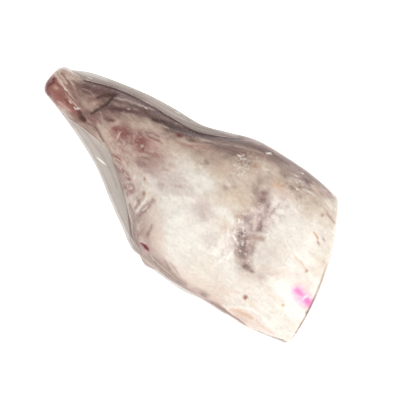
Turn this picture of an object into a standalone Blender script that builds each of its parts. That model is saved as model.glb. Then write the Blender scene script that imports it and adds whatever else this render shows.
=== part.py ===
"""A raw leg of lamb, bone in, shrink-wrapped in clear film, as one closed solid out to the film.

The leg lies on its inner side with the fat side up. +X runs from the shank to the cut end, +Y towards the back
edge, +Z up, and the origin is the middle of the footprint's box, on the table. Run it in Blender, in metres.
"""

import math

import bmesh
import bpy
import numpy as np

MM = 0.001

# Driving sizes, in millimetres
LENGTH = 380.0
WIDTH = 185.0
THICKNESS = 90.0

# Sections from the hock to the cut end. The two edge points are in percent of LENGTH and WIDTH from the middle.
# Low, wide and high are the heights of the underside, of the widest line and of the crown, in percent of
# THICKNESS; a low below zero is flesh that the table presses flat. The webs are how far the film stands out
# from the front edge and from the back edge, in millimetres.
#                  front edge       back edge      low  wide  high  front  back
SECTIONS = {
    "hock":      ((-46.6, -3.2), (-45.9, 16.2),     8,   28,   47,   0.6,  1.0),
    "shank":     ((-39.5, -6.6), (-40.5, 17.6),     7,   29,   50,   2.0,  9.0),
    "shin":      ((-31.1, -6.8), (-32.6, 23.5),     6,   31,   56,  13.5,  7.0),
    "calf":      ((-23.2, -9.7), (-23.7, 27.6),     4,   33,   64,  20.8,  7.5),
    "knee":      ((-15.3, -19.5), (-15.3, 28.9),    1,   36,   73,  20.8,  9.5),
    "stifle":    ((-7.9, -32.2), (-6.6, 31.1),     -3,   38,   84,  13.2,  8.5),
    "flank":     ((-0.8, -43.8), (0.8, 38.1),      -6,   39,   94,   6.2,  6.0),
    "thigh":     ((10.5, -48.1), (9.5, 47.3),      -8,   39,  100,   2.0,  0.7),
    "rump":      ((23.2, -45.9), (22.1, 49.6),     -8,   39,   98,   1.0,  0.5),
    "chump":     ((36.3, -44.0), (29.6, 49.4),     -6,   38,   90,   1.0,  0.5),
    "cut":       ((48.5, -38.3), (35.3, 47.9),     -2,   37,   78,   1.0,  0.5),
}

# Where the film bunches along the front edge: middle along X, half length and how far it is pushed out.
GATHERS = {
    "flank tuck":   (3.0, 4.0, -1.6),
    "flank bunch":  (15.0, 6.0, 2.2),
    "belly bulge":  (64.0, 14.0, 1.6),
    "flap end":     (122.0, 6.0, -1.6),
}

UPPER_SQUARENESS = 2.25
LOWER_SQUARENESS = 2.5
WEB_HALF_ANGLE = math.radians(4.5)
CUT_BOW = 11.0
CUT_BOW_STARTS = 8.0

HOCK_DEPTH = 12.5
HOCK_SQUARENESS = 2.5
CUT_RIM_RADIUS = 6.0
CUT_DOME = 2.0

# Swellings and hollows of the upper side: middle in millimetres, half sizes along and across, turn, height.
SWELLINGS = {
    "hock tendon":   ((-160.0, 3.0), (20.0, 5.0), -14.0, 3.0),
    "shin hollow":   ((-106.0, 36.0), (34.0, 8.0), 8.0, -3.0),
    "shin crease":   ((-128.0, 15.0), (4.0, 12.0), -20.0, -2.5),
    "kneecap":       ((-72.0, 22.0), (26.0, 17.0), -20.0, 4.0),
    "web groove":    ((-66.0, -16.0), (34.0, 5.0), -38.0, -3.0),
    "calf muscle":   ((-20.0, -28.0), (34.0, 22.0), -35.0, 3.5),
    "flank fold":    ((-14.0, -62.0), (26.0, 4.5), -46.0, -3.0),
    "belly":         ((52.0, -50.0), (48.0, 26.0), -8.0, 4.5),
    "hip":           ((96.0, 62.0), (34.0, 20.0), -10.0, 4.0),
    "rump hollow":   ((92.0, 0.0), (15.0, 42.0), -12.0, -6.0),
    "chump muscle":  ((146.0, -28.0), (26.0, 36.0), 12.0, 3.5),
    "flap crease":   ((110.0, -66.0), (26.0, 4.0), 8.0, -2.5),
}

RING_COUNT = 72
RING_POINTS = 52
EDGE_CROWDING = 0.86
HOCK_RINGS = 7
RIM_RINGS = 4
FACE_RINGS = 5


def smoothstep(x):
    x = min(max(x, 0.0), 1.0)
    return x * x * (3 - 2 * x)


def section_rows():
    """The sections as rows of millimetres: front x and y, back x and y, low, wide, high, front web, back web."""
    rows = []
    for (fx, fy), (bx, by), low, wide, high, front_web, back_web in SECTIONS.values():
        plan = [fx * LENGTH / 100, fy * WIDTH / 100, bx * LENGTH / 100, by * WIDTH / 100]
        heights = [level * THICKNESS / 100 for level in (low, wide, high)]
        rows.append(plan + heights + [front_web, back_web])
    return np.array(rows)


ROWS = section_rows()
LAST = len(ROWS) - 1


def section_at(t):
    """The section at t, which runs from 0 at the hock to LAST at the cut, on a Catmull-Rom curve."""
    k = min(int(t), LAST - 1)
    s = t - k
    before, start, end, after = (ROWS[min(max(k + i, 0), LAST)] for i in (-1, 0, 1, 2))
    leave = (end - before) / 2
    arrive = (after - start) / 2
    return (
        start * (2 * s**3 - 3 * s**2 + 1)
        + leave * (s**3 - 2 * s**2 + s)
        + end * (3 * s**2 - 2 * s**3)
        + arrive * (s**3 - s**2)
    )


def swelling(x, y):
    """How far the upper side stands above the plain crown at a place in the plan."""
    height = 0.0
    for (cx, cy), (along, across), turn, amount in SWELLINGS.values():
        c, s = math.cos(math.radians(turn)), math.sin(math.radians(turn))
        u = ((x - cx) * c + (y - cy) * s) / along
        v = ((y - cy) * c - (x - cx) * s) / across
        height += amount * math.exp(-(u * u + v * v) / 2)
    return height


def gathered(x):
    """How far the bunched film pushes the front edge out at a place along X."""
    return sum(push * math.exp(-(((x - middle) / half) ** 2)) for middle, half, push in GATHERS.values())


def web_share(angle, edge_angle):
    """How much of a web's reach a point has: all of it on the edge, none a few degrees above or below."""
    away = (angle - edge_angle + math.pi) % math.tau - math.pi
    return math.exp(-((away / WEB_HALF_ANGLE) ** 2))


def ring(t, across_scale=1.0, height_scale=1.0, advance=0.0):
    """One section's outline. The scales draw it in towards its middle and advance moves it out of its plane."""
    fx, fy, bx, by, low, wide, high, front_web, back_web = section_at(t)
    front, back = np.array([fx, fy]), np.array([bx, by])
    half = np.linalg.norm(back - front) / 2
    across = (back - front) / (2 * half)
    outward = np.array([across[1], -across[0]])
    front_web += gathered(fx)
    bow = CUT_BOW * smoothstep((t - CUT_BOW_STARTS) / (LAST - CUT_BOW_STARTS))
    points = []
    for i in range(RING_POINTS):
        turn = math.tau * i / RING_POINTS
        angle = turn - EDGE_CROWDING * math.sin(2 * turn) / 2
        c, s = math.cos(angle), math.sin(angle)
        square = UPPER_SQUARENESS if s > 0 else LOWER_SQUARENESS
        side = math.copysign(abs(c) ** (2 / square), c)
        rise = math.copysign(abs(s) ** (2 / square), s)
        web = back_web * web_share(angle, 0.0) - front_web * web_share(angle, math.pi)
        reach = (side * half + web) * across_scale
        drift = bow * (1 - (side * across_scale) ** 2) + advance
        x, y = (front + back) / 2 + across * reach + outward * drift
        if rise > 0:
            z = wide + ((high - wide) * rise + swelling(x, y) * rise**2) * height_scale
        else:
            z = wide + (wide - low) * rise * height_scale
        points.append((x, y, max(z, 0.0)))
    return points


def hock_rings():
    """The shank's blunt end, from its tip to just short of the first section."""
    rings = []
    for i in range(1, HOCK_RINGS + 1):
        angle = math.pi / 2 * i / (HOCK_RINGS + 1)
        width = math.sin(angle) ** (2 / HOCK_SQUARENESS)
        depth = math.cos(angle) ** (2 / HOCK_SQUARENESS)
        rings.append(ring(0.0, width, width, -HOCK_DEPTH * depth))
    return rings


def cut_rings():
    """The cut end: its rounded rim and then its gently domed face, closing towards the middle."""
    front, back = ROWS[LAST][0:2], ROWS[LAST][2:4]
    half = np.linalg.norm(back - front) / 2
    half_height = ROWS[LAST][6] - ROWS[LAST][5]
    rings = []
    for i in range(1, RIM_RINGS + 1):
        angle = math.pi / 2 * i / RIM_RINGS
        drawn_in = CUT_RIM_RADIUS * (1 - math.cos(angle))
        scales = 1 - drawn_in / half, 1 - drawn_in / half_height
        rings.append(ring(LAST, *scales, CUT_RIM_RADIUS * math.sin(angle)))
    for i in range(1, FACE_RINGS + 1):
        left = 1 - i / (FACE_RINGS + 1)
        dome = CUT_DOME * (1 - left**2)
        rings.append(ring(LAST, left * scales[0], left * scales[1], CUT_RIM_RADIUS + dome))
    return rings


def close_end(bm, verts, turned):
    """A fan from a ring to its middle."""
    middle = bm.verts.new(sum((v.co for v in verts), start=verts[0].co * 0) / len(verts))
    for i, v in enumerate(verts):
        after = verts[(i + 1) % len(verts)]
        bm.faces.new((v, after, middle) if turned else (after, v, middle))


def skin(rings):
    """A closed mesh through the rings, with a fan at each end."""
    bm = bmesh.new()
    rows = [[bm.verts.new([MM * value for value in point]) for point in points] for points in rings]
    for one, two in zip(rows, rows[1:]):
        for i in range(RING_POINTS):
            j = (i + 1) % RING_POINTS
            bm.faces.new((one[i], two[i], two[j], one[j]))
    close_end(bm, rows[0], False)
    close_end(bm, rows[-1], True)
    bmesh.ops.recalc_face_normals(bm, faces=bm.faces)
    mesh = bpy.data.meshes.new("vacuum_packed_leg")
    bm.to_mesh(mesh)
    bm.free()
    return mesh


def fat_under_film():
    """Cream fat under clear film: pale, smooth and a little glossy."""
    material = bpy.data.materials.new("fat_under_film")
    material.use_nodes = True
    shader = material.node_tree.nodes["Principled BSDF"]
    shader.inputs["Base Color"].default_value = (0.78, 0.68, 0.58, 1.0)
    shader.inputs["Roughness"].default_value = 0.25
    shader.inputs["Metallic"].default_value = 0.0
    return material


def build_leg():
    side_rings = [ring(LAST * i / (RING_COUNT - 1)) for i in range(RING_COUNT)]
    mesh = skin(hock_rings() + side_rings + cut_rings())
    mesh.materials.append(fat_under_film())
    mesh.shade_smooth()
    leg = bpy.data.objects.new("vacuum_packed_leg", mesh)
    bpy.context.scene.collection.objects.link(leg)
    return leg


for existing in list(bpy.data.objects):
    bpy.data.objects.remove(existing)
build_leg()
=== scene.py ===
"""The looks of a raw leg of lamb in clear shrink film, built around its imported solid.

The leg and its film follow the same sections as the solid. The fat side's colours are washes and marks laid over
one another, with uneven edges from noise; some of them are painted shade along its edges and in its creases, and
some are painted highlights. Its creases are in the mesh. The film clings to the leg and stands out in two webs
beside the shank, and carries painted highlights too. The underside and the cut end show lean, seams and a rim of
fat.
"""

import math

import bpy
import numpy as np
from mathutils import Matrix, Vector


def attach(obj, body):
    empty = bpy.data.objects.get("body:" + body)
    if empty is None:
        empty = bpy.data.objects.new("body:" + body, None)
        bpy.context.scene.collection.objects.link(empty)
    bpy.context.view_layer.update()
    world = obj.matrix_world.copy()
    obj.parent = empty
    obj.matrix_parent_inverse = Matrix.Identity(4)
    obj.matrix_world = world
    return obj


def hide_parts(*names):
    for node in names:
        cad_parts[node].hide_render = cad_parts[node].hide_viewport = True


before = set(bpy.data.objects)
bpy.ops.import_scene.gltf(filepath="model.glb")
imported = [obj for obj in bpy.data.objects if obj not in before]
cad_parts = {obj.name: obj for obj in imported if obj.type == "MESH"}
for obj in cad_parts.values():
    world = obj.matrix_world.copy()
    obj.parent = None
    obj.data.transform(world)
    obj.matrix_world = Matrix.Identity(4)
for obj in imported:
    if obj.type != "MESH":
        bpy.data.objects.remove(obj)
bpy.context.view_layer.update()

MM = 0.001
NODE = "vacuum_packed_leg"

# ---------------------------------------------------------------- the leg's form, in millimetres, as in the solid

LENGTH = 380.0
WIDTH = 185.0
THICKNESS = 90.0

# Sections from the hock to the cut end: front edge and back edge in percent of LENGTH and WIDTH, the heights of
# underside, widest line and crown in percent of THICKNESS, and how far the film stands out in front and behind.
SECTIONS = {
    "hock":      ((-46.6, -3.2), (-45.9, 16.2),     8,   28,   47,   0.6,  1.0),
    "shank":     ((-39.5, -6.6), (-40.5, 17.6),     7,   29,   50,   2.0,  9.0),
    "shin":      ((-31.1, -6.8), (-32.6, 23.5),     6,   31,   56,  13.5,  7.0),
    "calf":      ((-23.2, -9.7), (-23.7, 27.6),     4,   33,   64,  20.8,  7.5),
    "knee":      ((-15.3, -19.5), (-15.3, 28.9),    1,   36,   73,  20.8,  9.5),
    "stifle":    ((-7.9, -32.2), (-6.6, 31.1),     -3,   38,   84,  13.2,  8.5),
    "flank":     ((-0.8, -43.8), (0.8, 38.1),      -6,   39,   94,   6.2,  6.0),
    "thigh":     ((10.5, -48.1), (9.5, 47.3),      -8,   39,  100,   2.0,  0.7),
    "rump":      ((23.2, -45.9), (22.1, 49.6),     -8,   39,   98,   1.0,  0.5),
    "chump":     ((36.3, -44.0), (29.6, 49.4),     -6,   38,   90,   1.0,  0.5),
    "cut":       ((48.5, -38.3), (35.3, 47.9),     -2,   37,   78,   1.0,  0.5),
}
GATHERS = {
    "flank tuck":   (3.0, 4.0, -1.6),
    "flank bunch":  (15.0, 6.0, 2.2),
    "belly bulge":  (64.0, 14.0, 1.6),
    "flap end":     (122.0, 6.0, -1.6),
}
SWELLINGS = {
    "hock tendon":   ((-160.0, 3.0), (20.0, 5.0), -14.0, 3.0),
    "shin hollow":   ((-106.0, 36.0), (34.0, 8.0), 8.0, -3.0),
    "shin crease":   ((-128.0, 15.0), (4.0, 12.0), -20.0, -2.5),
    "kneecap":       ((-72.0, 22.0), (26.0, 17.0), -20.0, 4.0),
    "web groove":    ((-66.0, -16.0), (34.0, 5.0), -38.0, -3.0),
    "calf muscle":   ((-20.0, -28.0), (34.0, 22.0), -35.0, 3.5),
    "flank fold":    ((-14.0, -62.0), (26.0, 4.5), -46.0, -3.0),
    "belly":         ((52.0, -50.0), (48.0, 26.0), -8.0, 4.5),
    "hip":           ((96.0, 62.0), (34.0, 20.0), -10.0, 4.0),
    "rump hollow":   ((92.0, 0.0), (15.0, 42.0), -12.0, -6.0),
    "chump muscle":  ((146.0, -28.0), (26.0, 36.0), 12.0, 3.5),
    "flap crease":   ((110.0, -66.0), (26.0, 4.0), 8.0, -2.5),
}
UPPER_SQUARENESS = 2.25
LOWER_SQUARENESS = 2.5
CUT_BOW = 11.0
CUT_BOW_STARTS = 8.0
HOCK_DEPTH = 12.5
HOCK_SQUARENESS = 2.5
CUT_RIM_RADIUS = 6.0
CUT_DOME = 2.0

# ---------------------------------------------------------------- how finely the pieces are made

HOCK_RINGS = 16
SIDE_RINGS = 286
RIM_RINGS = 7
FACE_RINGS = 16

# Points over and under a section, and how much closer together they stand at its two edges
LEG_ROUND = (232, 70, 0.0)
FILM_ROUND = (196, 106, 0.9)

# How far the leg lies inside the film, in millimetres, and the share of it that is left at the two edges
LEG_INSET = 0.7
FILM_INSET = 0.0
SIDE_FIT = 0.2
WEB_HALF_ANGLE = math.radians(1.6)

# The dark line along the cut edge of the fat: how many rings before the face, and where it ends at the back
CUT_LINE_RING = 3
CUT_LINE_BACK = 28.0

# On the webs, in millimetres: where the film turns hazy, and how wide their painted shade at the root and pale rim
# are
WEB_ROOT = 0.5
WEB_SHADE = 4.5
WEB_RIM = 6.0

# ---------------------------------------------------------------- colours

# Named colours of raw lamb as the eye sees them, in sRGB from 0 to 255
PALETTE = {
    "cream": (243, 235, 222),
    "ivory": (252, 249, 240),
    "bone": (214, 196, 175),
    "blush": (228, 205, 190),
    "rose": (208, 172, 160),
    "tan": (201, 179, 161),
    "fawn": (170, 141, 128),
    "gold": (218, 196, 172),
    "amber": (222, 172, 134),
    "rust": (166, 116, 86),
    "mauve": (184, 156, 146),
    "lilac": (221, 207, 199),
    "ash": (160, 138, 129),
    "hide": (140, 110, 101),
    "dusk": (112, 86, 81),
    "umber": (76, 50, 46),
    "plum": (108, 78, 78),
    "lean": (146, 94, 90),
    "brick": (158, 104, 93),
    "blood": (104, 44, 42),
    "wine": (124, 46, 60),
    "dye": (246, 104, 188),
    "web": (199, 192, 181),
    "mist": (238, 234, 230),
    # The white of painted highlights, also used for pale crumbs
    "frost": (255, 252, 245),
}
LIGHT_LEVEL = 1.13
FILM_VEIL = 0.028


def seen(name):
    """A palette colour as it is seen, from 0 to 1."""
    return np.array(PALETTE[name]) / 255


def albedo(colour):
    """Seen colours as the linear share of light that they return, less the pale veil that the film adds."""
    colour = np.clip(colour, 0, 1)
    linear = np.where(colour > 0.04045, ((colour + 0.055) / 1.055) ** 2.4, colour / 12.92)
    return np.maximum(linear - FILM_VEIL, 0.004) / LIGHT_LEVEL


# Uneven clouds all over the fat: name, colour, strength, size in millimetres, how far they are drawn out along X,
# how much they cover from -1 to 1
CLOUDS = [
    ("cloud", "ivory", 0.6, 26, 1.6, 0.05),
    ("haze", "lilac", 0.45, 17, 1.4, -0.1),
    ("blush", "blush", 0.45, 13, 2.0, -0.15),
    ("grain", "ivory", 0.4, 5, 1.5, 0.0),
    ("speck", "lilac", 0.4, 3.5, 1.5, -0.15),
]

# Soft washes on the fat side: name, colour, strength, middle, half sizes along and across, turn in degrees
WASHES = [
    ("hock skin", "fawn", 0.55, (-166, 23), (15, 9.5), 26),
    ("shank brown", "hide", 0.8, (-140, 2), (16, 10.5), -9),
    ("shank fawn", "fawn", 0.8, (-118, -6), (19.5, 8.5), -6),
    ("calf brown", "hide", 0.5, (-98, 28), (17, 6.5), 14),
    ("shank skin", "hide", 0.85, (-137, 12), (45, 20.5), 8),
    ("hock flesh glow", "brick", 0.6, (-172, 4), (14, 18.5), 36),
    ("shank dusk", "dusk", 0.45, (-142, 27), (19.5, 9.5), 18),
    ("shank crown", "dusk", 0.35, (-106, 35), (26, 8.5), 12),
    ("crease below", "mauve", 0.6, (-112, 12), (13, 7.5), 8),
    ("knee fat wash", "bone", 0.85, (-85, 23), (26, 8), 24),
    ("knee blush", "mauve", 0.85, (-59, 13), (32, 18.5), 6),
    ("shin cream", "bone", 0.75, (-95, -8), (18.5, 7.5), -26),
    ("front strip", "mauve", 0.65, (-66, -21), (34.5, 10.5), -30),
    ("knee edge", "mauve", 0.6, (-41, -4), (19.5, 9.5), 16),
    ("thigh lilac", "lilac", 0.7, (-18, -5), (21.5, 12), 16),
    ("calf dusk", "dusk", 0.55, 7, [(-154, 28), (-130, 34), (-109, 39), (-83, 44)]),
    ("back mauve", "mauve", 0.75, 6.4, [(-78, 29), (-61, 32), (-43, 36)]),
    ("back hide wash", "hide", 0.85, 10.7, [(-22, 51), (-3, 58), (19, 68), (42, 77), (66, 83)]),
    ("back tan wash", "tan", 0.85, 8.6, [(-37, 35), (-13, 39), (15, 47), (41, 56)]),
    ("back hide wash 2", "hide", 0.6, 6.4, [(-36, 46), (-14, 54), (11, 64), (33, 75)]),
    ("belly edge tan", "mauve", 0.4, 9.7, [(37, -82), (59, -82), (82, -78), (98, -77)]),
    ("spine shade", "tan", 0.6, (63, 33), (13, 21.5), 36),
    ("spine shade 2", "ash", 0.35, (74, 33), (8.5, 13), 36),
    # Painted shade where the back edge curves away from the light, over the dusky meat there
    ("back dusk", "dusk", 0.9, 9.1, [(-83, 44), (-56, 47), (-32, 54), (-7, 63), (18, 76)]),
    ("hip dusk", "dusk", 0.45, 6.4, [(9, 74), (41, 85), (75, 89), (112, 90)]),
    ("back bone", "bone", 0.7, (-28, 30), (23.5, 8.5), 24),
    ("back tan", "tan", 0.9, (22, 48), (43, 17), 21),
    ("back hide", "hide", 0.6, (26, 71), (36.5, 8.5), 16),
    ("back blush", "mauve", 0.6, (-7, 47), (19.5, 7.5), 24),
    ("spine tan", "tan", 0.7, (57, 63), (19.5, 14), 6),
    ("back gold", "gold", 0.7, (76, 64), (16, 8.5), 26),
    ("hip shade", "ash", 0.8, (88, 86), (32, 13), -4),
    ("hip tan", "tan", 0.5, (104, 66), (28, 10.5), 8),
    ("rump pale", "bone", 0.3, (128, 64), (26, 10.5), -4),
    ("loin gold", "gold", 0.55, (50, 22), (21.5, 14), 26),
    ("thigh bone", "bone", 0.4, (28, 23), (16, 9.5), 16),
    ("hollow", "mauve", 0.95, (86, -11), (10, 28), 36),
    ("hollow shade", "ash", 0.5, (86, -12), (7.5, 21.5), 36),
    # Painted shade along the belly edge, where the surface turns down
    ("belly edge line", "hide", 0.8, 5.9, [
        (-14, -73), (-1, -80), (15, -84), (37, -87), (63, -87), (88, -85), (110, -82),
    ]),
    ("belly edge glow", "blush", 0.6, 12.9, [(9, -76), (39, -80), (67, -78), (95, -77)]),
    ("hollow arm", "mauve", 0.65, (81, 28), (12, 27), 28),
    ("hollow shore", "tan", 0.55, (68, 4), (8.5, 15), 36),
    ("hock glow", "rose", 0.4, (-157, 7), (9.5, 12), 6),
    ("shank glow", "tan", 0.35, (-128, 28), (7.5, 6.5), 16),
    ("shank glow 2", "tan", 0.45, (-130, 15), (9.5, 5.5), 26),
    ("knee glow", "bone", 0.5, (-68, 37), (9.5, 4.5), 21),
    ("knee hollow", "hide", 0.35, (-108, 16), (9.5, 4.5), 46),
    ("hollow far shore", "ivory", 0.6, (120, 11), (9.5, 26), 24),
    ("hollow near shore", "mauve", 0.4, (75, -18), (6.5, 10.5), 36),
    ("flap upper blush", "blush", 0.4, (115, -40), (15, 7.5), 26),
    ("fold strip", "mauve", 0.8, (-9, -60), (28, 8.5), -44),
    ("fold shore", "blush", 0.7, (0, -50), (32, 8.5), -48),
    # Painted shade along the belly edge
    ("belly edge", "mauve", 0.75, (30, -81), (20.5, 8.5), -16),
    ("belly edge 2", "mauve", 0.5, (65, -84), (19.5, 5.5), 3),
    ("belly blush", "blush", 0.6, (80, -73), (21.5, 8.5), 6),
    ("flap blush", "blush", 0.6, (130, -72), (18.5, 8.5), 11),
    ("thigh crown", "ivory", 0.85, (63, -52), (41, 23.5), 6),
    ("thigh crown 2", "ivory", 0.6, (30, -28), (28, 16), 16),
    ("thigh glow", "cream", 0.7, (-12, 21), (19.5, 9.5), 6),
    ("thigh grey", "lilac", 0.6, (30, -8), (13, 8.5), 16),
    ("thigh grey 2", "lilac", 0.5, (56, -28), (13, 9.5), -4),
    ("chump crown", "ivory", 0.65, (137, 16), (29, 26), -24),
    ("flap crown", "ivory", 0.45, (147, -43), (41, 26), 11),
    ("chump cool", "lilac", 0.6, (116, -15), (9.5, 15), 16),
    ("cut gold", "gold", 0.2, (164, 28), (8.5, 18.5), 21),
    ("cut blush", "blush", 0.45, (166, -9), (15, 9.5), -34),
    ("loin cream", "cream", 0.22, (2, 18), (36.5, 16), 24),
    ("loin cream 2", "cream", 0.3, (65, 63), (9.5, 19.5), 56),
    ("knee cream", "cream", 0.2, (-10, -39), (13, 15), 6),
    ("thigh bone 2", "bone", 0.3, (66, -58), (26, 19.5), -4),
    ("thigh bone 3", "bone", 0.35, (60, -1), (7.5, 13), 36),
    ("hollow end", "ivory", 0.3, (117, -13), (9.5, 10.5), 36),
    ("chump cream", "ivory", 0.25, (127, 13), (9.5, 10.5), 36),
]
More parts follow.
